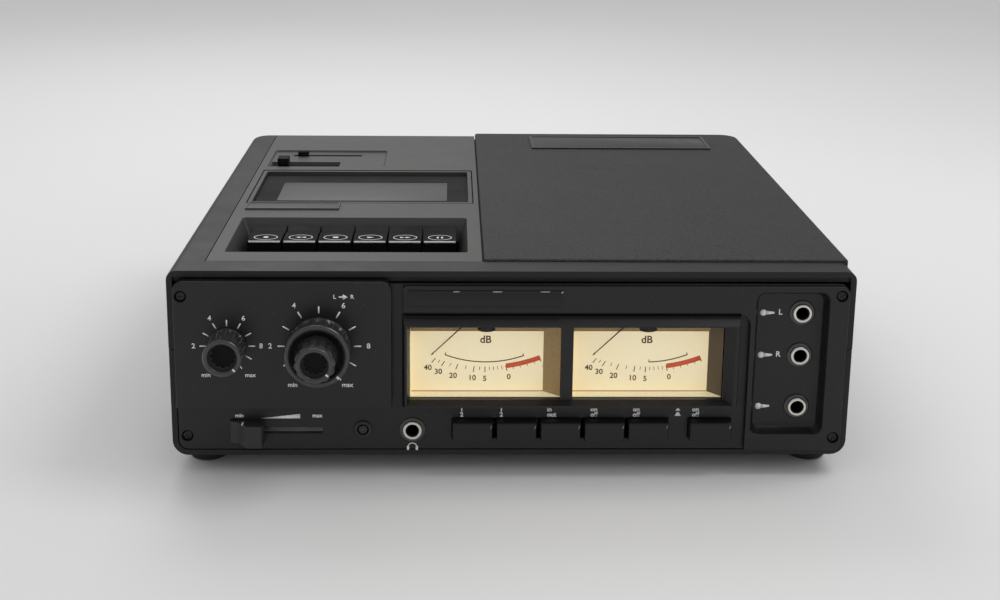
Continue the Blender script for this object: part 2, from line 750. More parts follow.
def deck_panel():
    deck_back = CASE_DEPTH - BACK_STRIP - FIT
    plate_low = CASE_HEIGHT - DECK_THICKNESS
    lid_hole = rectangle(
        LID_LEFT - LID_CLEARANCE, LID_RIGHT + LID_CLEARANCE,
        LID_FRONT - LID_CLEARANCE, LID_BACK + LID_BACK_CLEARANCE)
    thin_slot = rectangle(
        THIN_SLOT_LEFT, THIN_SLOT_RIGHT,
        THIN_SLOT_DEPTH - THIN_SLOT_WIDTH / 2, THIN_SLOT_DEPTH + THIN_SLOT_WIDTH / 2)
    wide_slot = rectangle(
        WIDE_SLOT_LEFT, WIDE_SLOT_RIGHT,
        WIDE_SLOT_DEPTH - WIDE_SLOT_WIDTH / 2, WIDE_SLOT_DEPTH + WIDE_SLOT_WIDTH / 2)
    panel = slab(
        "deck_panel",
        [rectangle(DECK_LEFT + FIT, DECK_RIGHT - FIT, STRIP_DEPTH + FIT, deck_back), lid_hole, thin_slot, wide_slot],
        plate_low, CASE_HEIGHT, DECK_GREY)
    draft = (KEY_RECESS_DRAFT, KEY_RECESS_DRAFT, KEY_RECESS_FRONT_DRAFT, KEY_RECESS_DRAFT)
    recess_low = CASE_HEIGHT - KEY_RECESS_DEPTH
    join(panel, tapered(
        "key_recess_walls",
        (KEY_RECESS_LEFT - KEY_RECESS_WALL, KEY_RECESS_FRONT - KEY_RECESS_WALL, recess_low),
        (KEY_RECESS_RIGHT + KEY_RECESS_WALL, KEY_RECESS_BACK + KEY_RECESS_WALL, CASE_HEIGHT - FIT),
        draft))
    cut(panel, tapered(
        "key_recess_hollow",
        (KEY_RECESS_LEFT, KEY_RECESS_FRONT, recess_low - OVERRUN),
        (KEY_RECESS_RIGHT, KEY_RECESS_BACK, CASE_HEIGHT + OVERRUN),
        draft))
    cut(panel, tapered(
        "rear_tray",
        (TRAY_LEFT, TRAY_FRONT, CASE_HEIGHT - TRAY_DEPTH),
        (TRAY_RIGHT, TRAY_BACK, CASE_HEIGHT + OVERRUN),
        (TRAY_DEPTH / 2,) * 4))
    cut(panel, block(
        "slide_channel", (CHANNEL_LEFT, CHANNEL_FRONT, CASE_HEIGHT - TRAY_DEPTH - CHANNEL_DEPTH),
        (CHANNEL_RIGHT, CHANNEL_BACK, CASE_HEIGHT)))
    for name, edge, side in (("left", LID_LEFT - LID_CLEARANCE, -1), ("right", LID_RIGHT + LID_CLEARANCE, 1)):
        ends = sorted((edge, edge + side * LID_EAR_REACH))
        join(panel, block(
            f"lid_ear_{name}",
            (ends[0], LID_AXIS[1] - LID_EAR, LID_AXIS[2] - LID_EAR),
            (ends[1], LID_AXIS[1] + LID_EAR, plate_low + DECK_THICKNESS / 3)))
    cut(panel, rod(
        "trunnion_hole", TRUNNION_RADIUS + FIT, LID_LEFT - TRUNNION_LENGTH - FIT,
        LID_RIGHT + TRUNNION_LENGTH + FIT, at=LID_AXIS, turn=SIDE, steps=12))
    return panel


def top_pad():
    """The grained cover on the right, crowned above the frame and rounded over the case's side."""
    low = CASE_HEIGHT - DECK_THICKNESS
    high = CASE_HEIGHT + PAD_CROWN
    outline = filleted([
        (DECK_RIGHT + FIT, STRIP_DEPTH + FIT, 0), (HALF_WIDTH, STRIP_DEPTH + FIT, 0),
        (HALF_WIDTH, CASE_DEPTH, BACK_CORNER_RADIUS), (DECK_RIGHT + FIT, CASE_DEPTH, 0),
    ])
    return slab("top_pad", [outline], low, high, GRAINED, rounding=PAD_ROUNDING)


def front_panel():
    """One moulding: base plate, raised block with the knobs, raised plate round the meters, mic recess."""
    edge = INNER_HALF - FIT
    low = WALL + FIT
    base_outline = filleted([
        (-edge, low, PANEL_CORNER_RADIUS), (edge, low, PANEL_CORNER_RADIUS),
        (edge, PANEL_TOP, PANEL_CORNER_RADIUS), (-edge, PANEL_TOP, PANEL_CORNER_RADIUS),
    ])
    panel = slab("front_panel", [base_outline], -PANEL_THICKNESS, 0, BLACK_PLASTIC, turn=FRONT)
    inset = edge - RIM_ROUNDING / 4
    plate_low = low + RIM_ROUNDING / 4
    plate_top = PANEL_TOP - RIM_ROUNDING / 4
    corner = PANEL_CORNER_RADIUS - RIM_ROUNDING / 4
    block_outline = filleted([
        (-inset, BLOCK_BOTTOM, 0), (BLOCK_RIGHT, BLOCK_BOTTOM, BLOCK_CORNER_RADIUS / 2),
        (BLOCK_RIGHT, BLOCK_TOP, BLOCK_CORNER_RADIUS), (-inset, BLOCK_TOP, BLOCK_CORNER_RADIUS),
    ])
    join(panel, slab(
        "control_block", [block_outline], -PANEL_THICKNESS / 2, BLOCK_PROUD, turn=FRONT, rounding=BLOCK_ROUNDING))
    plate_outline = filleted([
        (PLATE_LEFT, PLATE_BAND_BOTTOM, 0), (PLATE_COLUMN_LEFT, PLATE_BAND_BOTTOM, PLATE_INNER_RADIUS),
        (PLATE_COLUMN_LEFT, plate_low, 0), (inset, plate_low, corner),
        (inset, plate_top, corner), (PLATE_LEFT, plate_top, corner / 3),
    ])
    join(panel, slab(
        "meter_plate", [plate_outline], -PANEL_THICKNESS / 2, PLATE_PROUD, turn=FRONT,
        rounding=RIM_ROUNDING / 3))
    recess_back = RECESS_FLOOR - RECESS_WALL
    join(panel, block(
        "recess_pan",
        (RECESS_LEFT - RECESS_WALL, RECESS_BOTTOM - RECESS_WALL, recess_back),
        (RECESS_RIGHT + RECESS_WALL, RECESS_TOP + RECESS_WALL, -PANEL_THICKNESS / 2),
        turn=FRONT))
    cut(panel, recess_cutter())
    cut(panel, *panel_openings())
    return panel


def recess_cutter():
    """The microphone recess: a rounded outline whose floor is drawn in all round."""
    outline = rectangle(RECESS_LEFT, RECESS_RIGHT, RECESS_BOTTOM, RECESS_TOP, RECESS_RADIUS)
    top = PLATE_PROUD + OVERRUN
    obj = slab("mic_recess", [outline], RECESS_FLOOR, top, turn=FRONT)
    middle = Vector(((RECESS_LEFT + RECESS_RIGHT) / 2, (RECESS_BOTTOM + RECESS_TOP) / 2, 0))
    half_width = (RECESS_RIGHT - RECESS_LEFT) / 2
    half_height = (RECESS_TOP - RECESS_BOTTOM) / 2
    for vert in obj.data.vertices:
        if vert.co.z < 0:
            vert.co.x = middle.x + (vert.co.x - middle.x) * (1 - RECESS_DRAFT / half_width)
            vert.co.y = middle.y + (vert.co.y - middle.y) * (1 - RECESS_DRAFT / half_height)
    return obj


def panel_openings():
    """Everything that the front panel is pierced for."""
    behind = RECESS_FLOOR - RECESS_WALL - OVERRUN
    proud = BLOCK_PROUD + OVERRUN
    low_proud = OVERRUN
    openings = [
        rod("blend_hole", POT_NECK_RADIUS + FIT, behind, proud, at=front_place(BLEND_X, KNOB_HEIGHT), turn=FRONT),
        rod("level_hole", POT_NECK_RADIUS + FIT, behind, proud, at=front_place(LEVEL_X, KNOB_HEIGHT), turn=FRONT),
        rod("lamp_hole", LAMP_LENS_RADIUS + FIT, behind, low_proud, at=front_place(LAMP_X, LAMP_HEIGHT), turn=FRONT),
        rod(
            "phones_hole", JACK_THREAD_RADIUS + FIT, behind, low_proud,
            at=front_place(PHONES_X, PHONES_HEIGHT), turn=FRONT),
        slab(
            "slider_slot",
            [rectangle(SLOT_LEFT, SLOT_RIGHT, SLOT_HEIGHT - SLOT_WIDTH / 2, SLOT_HEIGHT + SLOT_WIDTH / 2)],
            behind, low_proud, turn=FRONT),
        block(
            "button_slot", (BUTTONS[0][1] - FIT, BUTTON_BOTTOM - FIT, behind),
            (BUTTONS[4][1] + BUTTON_WIDTH + FIT, BUTTON_BOTTOM + BUTTON_RISE + FIT, low_proud), turn=FRONT),
        block(
            "power_slot", (POWER_LEFT - FIT, BUTTON_BOTTOM - FIT, behind),
            (POWER_LEFT + POWER_WIDTH + FIT, BUTTON_BOTTOM + BUTTON_RISE + FIT, low_proud), turn=FRONT),
        block(
            "lens_opening",
            (WINDOW_LEFT - LENS_LAP - FIT, WINDOW_BOTTOM - LENS_LAP - FIT, behind),
            (
                WINDOWS[1][1] + WINDOW_WIDTH + LENS_LAP + FIT,
                WINDOW_TOP + LENS_LAP + FIT, low_proud,
            ),
            turn=FRONT),
    ]
    for name, height in MIC_JACKS:
        openings.append(rod(
            f"{name}_hole", JACK_THREAD_RADIUS + FIT, behind, proud,
            at=front_place(JACK_X, height), turn=FRONT))
    for side in (-1, 1):
        for tag, height in (("low", SCREW_LOW), ("high", SCREW_HIGH)):
            face = PLATE_PROUD if side > 0 else (BLOCK_PROUD if tag == "high" else 0)
            at = front_place(side * SCREW_X, height)
            openings.append(rod(
                f"screw_hole_{tag}_{side}", SCREW_HOLE_RADIUS, behind, proud, at=at, turn=FRONT, steps=10))
            openings.append(rod(
                f"screw_sink_{tag}_{side}", SCREW_HEAD_RADIUS, face - SCREW_HEAD_SINK, proud, at=at, turn=FRONT))
    return openings


def feet():
    profile = [
        (0, 0), (FOOT_RADIUS, 0), (FOOT_RADIUS * 0.97, -FOOT_HEIGHT * 0.25),
        (FOOT_RADIUS * 0.86, -FOOT_HEIGHT * 0.6), (FOOT_RADIUS * 0.68, -FOOT_HEIGHT * 0.86),
        (FOOT_RADIUS * 0.5, -FOOT_HEIGHT + FIT), (0, -FOOT_HEIGHT + FIT),
    ]
    for tag, depth in (("front", FOOT_SETBACK), ("rear", CASE_DEPTH - FOOT_SETBACK)):
        for side, x in (("left", -HALF_WIDTH + FOOT_INSET), ("right", HALF_WIDTH - FOOT_INSET)):
            turned(f"foot_{tag}_{side}", profile, RUBBER, at=(x, depth, -FIT), steps=16)


def battery_cover():
    low = (BAY_LEFT - COVER_LAP, BAY_FRONT - COVER_LAP, 0)
    high = (BAY_RIGHT + COVER_LAP, BAY_BACK + COVER_LAP, COVER_THICKNESS)
    cover = block("battery_cover", low, high, BLACK_PLASTIC)
    middle = (BAY_LEFT + BAY_RIGHT) / 2
    for n in range(5):
        depth = BAY_BACK - COVER_LAP * (2 + 2 * n)
        cut(cover, block(
            f"grip_{n}", (middle - POST_INSET * 2, depth - COVER_LAP / 2, -OVERRUN),
            (middle + POST_INSET * 2, depth + COVER_LAP / 2, COVER_THICKNESS / 2)))
    return cover


def meters():
    """Bezel in front, one clear lens behind it, and a housing, dial face and needle for each channel."""
    bezel = tapered(
        "meter_bezel", (BEZEL_LEFT, BEZEL_BOTTOM, FIT), (BEZEL_RIGHT, BEZEL_TOP, BEZEL_PROUD),
        (-BEZEL_FLARE, -BEZEL_FLARE, -BEZEL_FLARE, -BEZEL_TOP_FLARE), BLACK_PLASTIC, turn=FRONT)
    cut(bezel, tapered(
        "bezel_mouth",
        (BEZEL_LEFT + BEZEL_RIM, BEZEL_BOTTOM + BEZEL_RIM, WINDOW_PROUD),
        (BEZEL_RIGHT - BEZEL_RIM, BEZEL_TOP - BEZEL_RIM, BEZEL_PROUD + FIT),
        (
            WINDOW_LEFT - BEZEL_LEFT - BEZEL_RIM, BEZEL_RIGHT - BEZEL_RIM - WINDOWS[1][1] - WINDOW_WIDTH,
            WINDOW_BOTTOM - BEZEL_BOTTOM - BEZEL_RIM, FIT,
        ),
        turn=FRONT))
    lens_back = -LENS_THICKNESS
    slab(
        "meter_lens",
        [rectangle(
            WINDOW_LEFT - LENS_LAP, WINDOWS[1][1] + WINDOW_WIDTH + LENS_LAP,
            WINDOW_BOTTOM - LENS_LAP, WINDOW_TOP + LENS_LAP)],
        lens_back, 0, CLEAR, turn=FRONT)
    for side, left in WINDOWS:
        right = left + WINDOW_WIDTH
        cut(bezel, block(
            f"window_{side}", (left, WINDOW_BOTTOM, -OVERRUN),
            (right, WINDOW_TOP, BEZEL_PROUD), turn=FRONT))
        meter(side, left, right)


def meter(side, left, right):
    front = -PANEL_THICKNESS - FIT
    back = front - METER_DEPTH
    housing = block(
        f"meter_{side}", (left - METER_WALL, WINDOW_BOTTOM - METER_WALL, back),
        (right + METER_WALL, METER_TOP, front), CREAM, turn=FRONT)
    floor = front - DIAL_SETBACK
    cut(housing, tapered(
        f"meter_{side}_hollow", (left, WINDOW_BOTTOM, floor), (right, METER_TOP - METER_WALL, front + OVERRUN),
        (METER_WALL, METER_SLOPE, METER_WALL, 0), turn=FRONT))
    pivot_x = left + PIVOT_X_IN_WINDOW
    rest = math.radians(NEEDLE_REST_DEGREES)
    blade_low = -NEEDLE_SETBACK - NEEDLE_THICKNESS / 2
    needle = slab(
        f"needle_{side}",
        [[
            (-NEEDLE_WIDTH, NEEDLE_HUB_RADIUS * 1.6), (-NEEDLE_WIDTH / 2, -NEEDLE_LENGTH),
            (NEEDLE_WIDTH / 2, -NEEDLE_LENGTH), (NEEDLE_WIDTH, NEEDLE_HUB_RADIUS * 1.6),
        ]],
        blade_low, blade_low + NEEDLE_THICKNESS, SCREW_BLACK, at=front_place(pivot_x, PIVOT_HEIGHT), turn=FRONT)
    needle.data.transform(Matrix.Rotation(-rest, 4, "Z"))
    join(needle, rod(
        f"needle_{side}_hub", NEEDLE_HUB_RADIUS, floor + FIT, blade_low + NEEDLE_THICKNESS * 2,
        at=front_place(pivot_x, PIVOT_HEIGHT), turn=FRONT, steps=12))


def scalloped(radius, depth, count):
    """A round outline whose edge waves in and out, for a finger grip."""
    points = []
    per_wave = 3
    for n in range(count * per_wave):
        angle = 2 * math.pi * n / (count * per_wave)
        reach = radius - depth * (1 - math.cos(angle * count)) / 2
        points.append((reach * math.cos(angle), reach * math.sin(angle)))
    return points


def knob(name, x, radius, bottom, length, bore, count):
    """A turned knob with a cup in its face and a scalloped grip above a plain skirt."""
    top = bottom + length
    body = turned(
        name,
        [
            (bore, top - KNOB_CUP_DEPTH), (radius - KNOB_LIP, top - KNOB_CUP_DEPTH),
            (radius - KNOB_LIP / 2, top - KNOB_LIP / 4), (radius - KNOB_LIP / 4, top),
            (radius - SCALLOP_DEPTH, top - KNOB_LIP / 2), (radius, top - KNOB_LIP),
            (radius, bottom + KNOB_SKIRT), (radius, bottom), (bore, bottom),
        ],
        BLACK_PLASTIC, at=front_place(x, KNOB_HEIGHT), turn=FRONT)
    wave = scalloped(radius + FIT, SCALLOP_DEPTH + FIT, count)
    combine(body, slab(
        f"{name}_grip", [wave], bottom - OVERRUN, top + OVERRUN,
        at=front_place(x, KNOB_HEIGHT), turn=FRONT), "INTERSECT")
    return body


def knobs():
    face = BLOCK_PROUD + FIT
    sleeve_radius = SHAFT_RADIUS + SLEEVE_WALL
    blend = knob(
        "blend_mic_knob", BLEND_X, BLEND_KNOB_RADIUS, face, BLEND_KNOB_LENGTH, 0, SCALLOP_COUNT)
    pot_front = -PANEL_THICKNESS - FIT
    shaft_low = pot_front - POT_LENGTH / 2
    join(blend, rod(
        "blend_shaft", SHAFT_RADIUS, shaft_low, face + KNOB_LIP,
        at=front_place(BLEND_X, KNOB_HEIGHT), turn=FRONT))
    outer = knob(
        "input_level_knob_right", LEVEL_X, OUTER_KNOB_RADIUS, face, OUTER_KNOB_LENGTH,
        SHAFT_RADIUS + FIT, SCALLOP_COUNT + 8)
    join(outer, turned(
        "level_sleeve",
        [(SHAFT_RADIUS + FIT, face + KNOB_LIP), (sleeve_radius, face + KNOB_LIP),
         (sleeve_radius, shaft_low), (SHAFT_RADIUS + FIT, shaft_low)],
        at=front_place(LEVEL_X, KNOB_HEIGHT), turn=FRONT, steps=SMALL_STEPS))
    seat = face + OUTER_KNOB_LENGTH - KNOB_CUP_DEPTH + FIT
    inner = knob(
        "input_level_knob_left", LEVEL_X, INNER_KNOB_RADIUS, seat,
        face + INNER_KNOB_LENGTH - seat, 0, SCALLOP_COUNT)
    join(inner, rod(
        "level_shaft", SHAFT_RADIUS, shaft_low - POT_LENGTH / 4, seat + KNOB_LIP,
        at=front_place(LEVEL_X, KNOB_HEIGHT), turn=FRONT))
    for name, x, bore in (
        ("blend_mic_pot", BLEND_X, SHAFT_RADIUS + FIT),
        ("input_level_pot", LEVEL_X, sleeve_radius + FIT),
    ):
        neck_top = BLOCK_PROUD
        turned(
            name,
            [
                (bore, neck_top), (POT_NECK_RADIUS, neck_top), (POT_NECK_RADIUS, pot_front),
                (POT_RADIUS, pot_front), (POT_RADIUS, pot_front - POT_LENGTH), (bore, pot_front - POT_LENGTH),
            ],
            STEEL, at=front_place(x, KNOB_HEIGHT), turn=FRONT, steps=SMALL_STEPS)


def phones_slider():
    """A wedge-shaped cap on a flat stem, and the slide potentiometer that the stem runs in."""
    left = SLOT_LEFT + FIT
    right = left + SLIDER_WIDTH
    middle = right - SLIDER_RIDGE
    low = SLOT_HEIGHT - SLIDER_RISE / 2
    high = SLOT_HEIGHT + SLIDER_RISE / 2
    cap = tapered(
        "phones_level_slider", (left, low, FIT), (right, high, SLIDER_PROUD),
        (0, 0, 0, 0), BLACK_PLASTIC, turn=FRONT)
    for vert in cap.data.vertices:
        if vert.co.z > SLIDER_PROUD / 2:
            vert.co.x = right - SLIDER_STEM / 6 if vert.co.x > middle else middle
    stem = SLIDER_STEM / 2
    stem_low = -PANEL_THICKNESS - SLIDER_POT_DEPTH / 2
    join(cap, block(
        "slider_stem",
        (middle - stem, SLOT_HEIGHT - SLOT_WIDTH / 2 + FIT, stem_low),
        (middle + stem, SLOT_HEIGHT + SLOT_WIDTH / 2 - FIT, FIT + OVERRUN), turn=FRONT))
    front = -PANEL_THICKNESS - FIT
    pot = block(
        "phones_level_pot",
        (SLOT_LEFT - METER_WALL, SLOT_HEIGHT - SLOT_WIDTH, front - SLIDER_POT_DEPTH),
        (SLOT_RIGHT + METER_WALL, SLOT_HEIGHT + SLOT_WIDTH, front), STEEL, turn=FRONT)
    cut(pot, block(
        "pot_slot",
        (SLOT_LEFT, SLOT_HEIGHT - SLOT_WIDTH / 2, stem_low - FIT),
        (SLOT_RIGHT, SLOT_HEIGHT + SLOT_WIDTH / 2, front + OVERRUN), turn=FRONT))


def lamp_and_jacks():
    ring = LAMP_PROUD / 2
    turned(
        "tape_alarm_lamp",
        [
            (0, LAMP_PROUD), (LAMP_LENS_RADIUS * 0.7, LAMP_PROUD * 0.8), (LAMP_LENS_RADIUS, ring),
            (LAMP_RING_RADIUS * 0.9, ring), (LAMP_RING_RADIUS, FIT), (LAMP_LENS_RADIUS, FIT),
            (LAMP_LENS_RADIUS, -LAMP_LENGTH), (0, -LAMP_LENGTH),
        ],
        RED_LENS, at=front_place(LAMP_X, LAMP_HEIGHT), turn=FRONT, steps=SMALL_STEPS)
    jack("phones_jack", PHONES_X, PHONES_HEIGHT, 0, -PANEL_THICKNESS)
    for name, height in MIC_JACKS:
        jack(name, JACK_X, height, RECESS_FLOOR, RECESS_FLOOR - RECESS_WALL)


def jack(name, x, height, face, panel_back):
    """A quarter-inch jack: collar, bright ring, threaded neck through the panel and body behind it."""
    body_front = panel_back - FIT
    body_back = body_front - JACK_LENGTH
    turned(
        name,
        [
            (JACK_BORE_RADIUS, face + JACK_RING_PROUD), (JACK_RING_RADIUS, face + JACK_RING_PROUD * 0.9),
            (JACK_RING_RADIUS, face + JACK_COLLAR_PROUD), (JACK_COLLAR_RADIUS, face + JACK_COLLAR_PROUD * 0.8),
            (JACK_COLLAR_RADIUS, face + FIT), (JACK_THREAD_RADIUS, face + FIT),
            (JACK_THREAD_RADIUS, body_front), (JACK_BODY_RADIUS, body_front),
            (JACK_BODY_RADIUS, body_back), (JACK_BORE_RADIUS, body_back),
        ],
        NICKEL, at=front_place(x, height), turn=FRONT, steps=SMALL_STEPS)


def push_buttons():
    """Six push buttons whose stems run in one switch bank."""
    bank_front = -PANEL_THICKNESS - BUTTON_BEHIND - BUTTON_TRAVEL - FIT
    bank = block(
        "switch_bank",
        (BUTTON_FIRST, BUTTON_BOTTOM - BANK_MARGIN, bank_front - BANK_DEPTH),
        (POWER_LEFT + POWER_WIDTH, BUTTON_BOTTOM + BUTTON_RISE + BANK_MARGIN, bank_front), STEEL, turn=FRONT)
    middle_height = BUTTON_BOTTOM + BUTTON_RISE / 2
    half = STEM_SIZE / 2
    back = -PANEL_THICKNESS - BUTTON_BEHIND
    for name, left, width in BUTTONS:
        cap = tapered(
            name, (left, BUTTON_BOTTOM, back), (left + width, BUTTON_BOTTOM + BUTTON_RISE, BUTTON_PROUD),
            (0, 0, 0, 0), BLACK_PLASTIC, turn=FRONT)
        edge = cap.modifiers.new("rounding", "BEVEL")
        edge.width = BUTTON_TAPER
        edge.segments = 2
        middle = left + width / 2
        join(cap, block(
            f"{name}_stem", (middle - half, middle_height - half, back - STEM_LENGTH),
            (middle + half, middle_height + half, back + OVERRUN), turn=FRONT))
        cut(bank, block(
            f"{name}_bore",
            (middle - half - FIT, middle_height - half - FIT, back - STEM_LENGTH - BUTTON_TRAVEL - FIT),
            (middle + half + FIT, middle_height + half + FIT, bank_front + OVERRUN), turn=FRONT))
    leg_low = BUTTON_BOTTOM + BUTTON_RISE + FIT * 2
    for tag, x in (("left", BUTTON_FIRST + BANK_MARGIN), ("right", POWER_LEFT - BANK_MARGIN * 3)):
        join(bank, block(
            f"bank_leg_{tag}",
            (x, leg_low, bank_front - BANK_MARGIN * 2),
            (x + BANK_MARGIN * 2, leg_low + BANK_MARGIN - FIT * 3, -PANEL_THICKNESS - FIT), turn=FRONT))


def keys():
    """Piano keys: each a hollow cap with a tail that turns on one rod behind the recess."""
    top = CASE_HEIGHT - KEY_DROP - KEY_PIVOT_HEIGHT
    front = KEY_FRONT - KEY_PIVOT_DEPTH
    back = KEY_BACK - KEY_PIVOT_DEPTH
    bottom = top - KEY_FACE
    boss = [
        (KEY_BOSS_RADIUS * math.cos(math.radians(a)), KEY_BOSS_RADIUS * math.sin(math.radians(a)))
        for a in range(-90, 91, 30)
    ]
    tail_top = CASE_HEIGHT - KEY_RECESS_DEPTH - FIT * 3 - KEY_PIVOT_HEIGHT
    outline = [*boss, (back, tail_top)]
    outline += filleted([
        (back, tail_top, 0), (back, top, KEY_SKIN / 2), (front, top, KEY_SKIN / 2), (front, bottom, 0),
    ])[1:]
    outline += [
        (front + KEY_SKIN, bottom), (front + KEY_SKIN, top - KEY_SKIN),
        (back - KEY_SKIN, top - KEY_SKIN), (back - KEY_SKIN, -KEY_BOSS_RADIUS / 2),
    ]
    bore = circle(0, 0, KEY_ROD_RADIUS + FIT, 12)
    row = KEY_PITCH * (len(KEY_NAMES) - 1)
    for n, name in enumerate(KEY_NAMES):
        x = KEY_ROW_MIDDLE - row / 2 + n * KEY_PITCH
        slab(
            name, [outline, bore], -KEY_WIDTH / 2, KEY_WIDTH / 2, BLACK_PLASTIC,
            at=(x, KEY_PIVOT[1], KEY_PIVOT[2]), turn=SIDE)
    ends = key_ear_places()
    rod(
        "key_pivot_rod", KEY_ROD_RADIUS, ends[0] - EAR_THICKNESS, ends[1] + EAR_THICKNESS, STEEL,
        at=KEY_PIVOT, turn=SIDE, steps=12)


def key_ear_places():
    """The inner faces of the two ears that hold the key rod."""
    half = KEY_PITCH * len(KEY_NAMES) / 2
    return KEY_ROW_MIDDLE - half - EAR_THICKNESS, KEY_ROW_MIDDLE + half + EAR_THICKNESS


def lid():
    """The lid frame turns on two trunnions at its back, and carries a clear pane in a rebate."""
    top = CASE_HEIGHT
    axis_y, axis_z = LID_AXIS[1], LID_AXIS[2]
    frame = block(
        "cassette_lid", (LID_LEFT, LID_FRONT - axis_y, top - LID_SKIRT - axis_z),
        (LID_RIGHT, LID_BACK - axis_y, top - axis_z), DECK_GREY, at=LID_AXIS)
    edge = LID_RIM / 2
    cut(frame, block(
        "lid_hollow",
        (LID_LEFT + edge, LID_FRONT + edge - axis_y, top - LID_SKIRT - OVERRUN - axis_z),
        (LID_RIGHT - edge, LID_BACK - edge - axis_y, top - LID_SKIN - axis_z), at=LID_AXIS))
    pane_top = top - PANE_SINK
    pane_low = pane_top - PANE_THICKNESS
    pane = (
        LID_LEFT + LID_RIM, LID_RIGHT - LID_RIM,
        LID_FRONT + LID_RIM - axis_y, LID_BACK - LID_RIM - axis_y,
    )
    cut(frame, block(
        "pane_seat", (pane[0] - FIT, pane[2] - FIT, pane_low - FIT - axis_z),
        (pane[1] + FIT, pane[3] + FIT, top + OVERRUN - axis_z), at=LID_AXIS))
    cut(frame, block(
        "lid_view",
        (LID_WINDOW_LEFT, LID_WINDOW_FRONT - axis_y, top - LID_SKIN - OVERRUN - axis_z),
        (LID_WINDOW_RIGHT, LID_WINDOW_BACK - axis_y, top - axis_z), at=LID_AXIS))
    for name, edge_x, side in (("left", LID_LEFT, -1), ("right", LID_RIGHT, 1)):
        ends = sorted((edge_x - side * OVERRUN, edge_x + side * TRUNNION_LENGTH))
        join(frame, rod(f"trunnion_{name}", TRUNNION_RADIUS, *ends, at=LID_AXIS, turn=SIDE, steps=12))
    block(
        "lid_window", (pane[0], pane[2], pane_low - axis_z), (pane[1], pane[3], pane_top - axis_z),
        SMOKED, at=LID_AXIS)


def rear_slides():
    """Two slide switches in the tray behind the lid: a knob on a thin foot through its slot."""
    tray = CASE_HEIGHT - TRAY_DEPTH
    for name, x, depth, width, reach in (
        ("rear_slide_knob", THIN_KNOB_LEFT, THIN_SLOT_DEPTH, THIN_SLOT_WIDTH, SLIDE_KNOB_REACH * 0.8),
        ("front_slide_knob", WIDE_KNOB_LEFT, WIDE_SLOT_DEPTH, WIDE_SLOT_WIDTH, SLIDE_KNOB_REACH * 1.6),
    ):
        cap = block(
            name, (x, depth - reach / 2, tray + FIT),
            (x + SLIDE_KNOB_WIDTH, depth + reach / 2, tray + SLIDE_KNOB_RISE), BLACK_PLASTIC,
            rounding=SLIDE_FOOT / 4)
        half = width / 2 - FIT
        join(cap, block(
            f"{name}_stem", (x, depth - half, CASE_HEIGHT - DECK_THICKNESS - SLIDE_FOOT),
            (x + SLIDE_KNOB_WIDTH, depth + half, tray + SLIDE_FOOT)))
        join(cap, block(
            f"{name}_foot",
            (x, depth - width, CASE_HEIGHT - DECK_THICKNESS - FIT - SLIDE_FOOT * 2),
            (x + SLIDE_KNOB_WIDTH, depth + width, CASE_HEIGHT - DECK_THICKNESS - FIT)))


def transport_chassis():
    """The steel deck plate with the cassette well's walls and the ears for the key rod."""
    holes = [
        circle(CASSETTE_MIDDLE + side * HUB_SPACING / 2, HUB_DEPTH, SPINDLE_SHAFT_RADIUS + FIT)
        for side in (-1, 1)
    ]
    chassis = slab(
        "transport_chassis",
        [rectangle(CHASSIS_LEFT, CHASSIS_RIGHT, CHASSIS_FRONT, CHASSIS_BACK, POST_RADIUS), *holes],
        CHASSIS_BOTTOM, CHASSIS_TOP, STEEL)
    well = [CASSETTE_LEFT - WELL_MARGIN, CASSETTE_LEFT + CASSETTE_WIDTH + WELL_MARGIN]
    depth = [CASSETTE_FRONT - WELL_MARGIN, CASSETTE_FRONT + CASSETTE_DEPTH + WELL_MARGIN]
    thick = CHASSIS_THICKNESS
    join(chassis, slab(
        "well_walls",
        [rectangle(well[0] - thick, well[1] + thick, depth[0] - thick, depth[1] + thick), rectangle(*well, *depth)],
        CHASSIS_BOTTOM + thick / 3, WELL_HEIGHT))
    cut(chassis, block(
        "head_gate", (HEAD_GATE_LEFT, depth[0] - thick - OVERRUN, CHASSIS_TOP),
        (HEAD_GATE_RIGHT, depth[0] + OVERRUN, WELL_HEIGHT + OVERRUN)))
    join(chassis, rod(
        "capstan_bearing", BEARING_RADIUS, FLYWHEEL_TOP + FIT, CHASSIS_TOP - thick / 2,
        at=(CAPSTAN_X, CAPSTAN_DEPTH, 0)))
    cut(chassis, rod(
        "capstan_bore", CAPSTAN_RADIUS + FIT, FLYWHEEL_TOP - OVERRUN, CHASSIS_TOP + OVERRUN,
        at=(CAPSTAN_X, CAPSTAN_DEPTH, 0), steps=12))
    inner = key_ear_places()
    for name, x in (("left", inner[0] - EAR_THICKNESS / 2), ("right", inner[1] + EAR_THICKNESS / 2)):
        outline = filleted([
            (-EAR_HALF_WIDTH, CHASSIS_BOTTOM + thick / 3 - KEY_PIVOT[2], 0),
            (EAR_HALF_WIDTH, CHASSIS_BOTTOM + thick / 3 - KEY_PIVOT[2], 0),
            (EAR_HALF_WIDTH, EAR_HALF_WIDTH, EAR_HALF_WIDTH / 2),
            (-EAR_HALF_WIDTH, EAR_HALF_WIDTH, EAR_HALF_WIDTH / 2),
        ])
        join(chassis, slab(
            f"key_ear_{name}", [outline, circle(0, 0, KEY_ROD_RADIUS + FIT, 12)],
            -EAR_THICKNESS / 2, EAR_THICKNESS / 2, at=(x, KEY_PIVOT[1], KEY_PIVOT[2]), turn=SIDE))
    return chassis


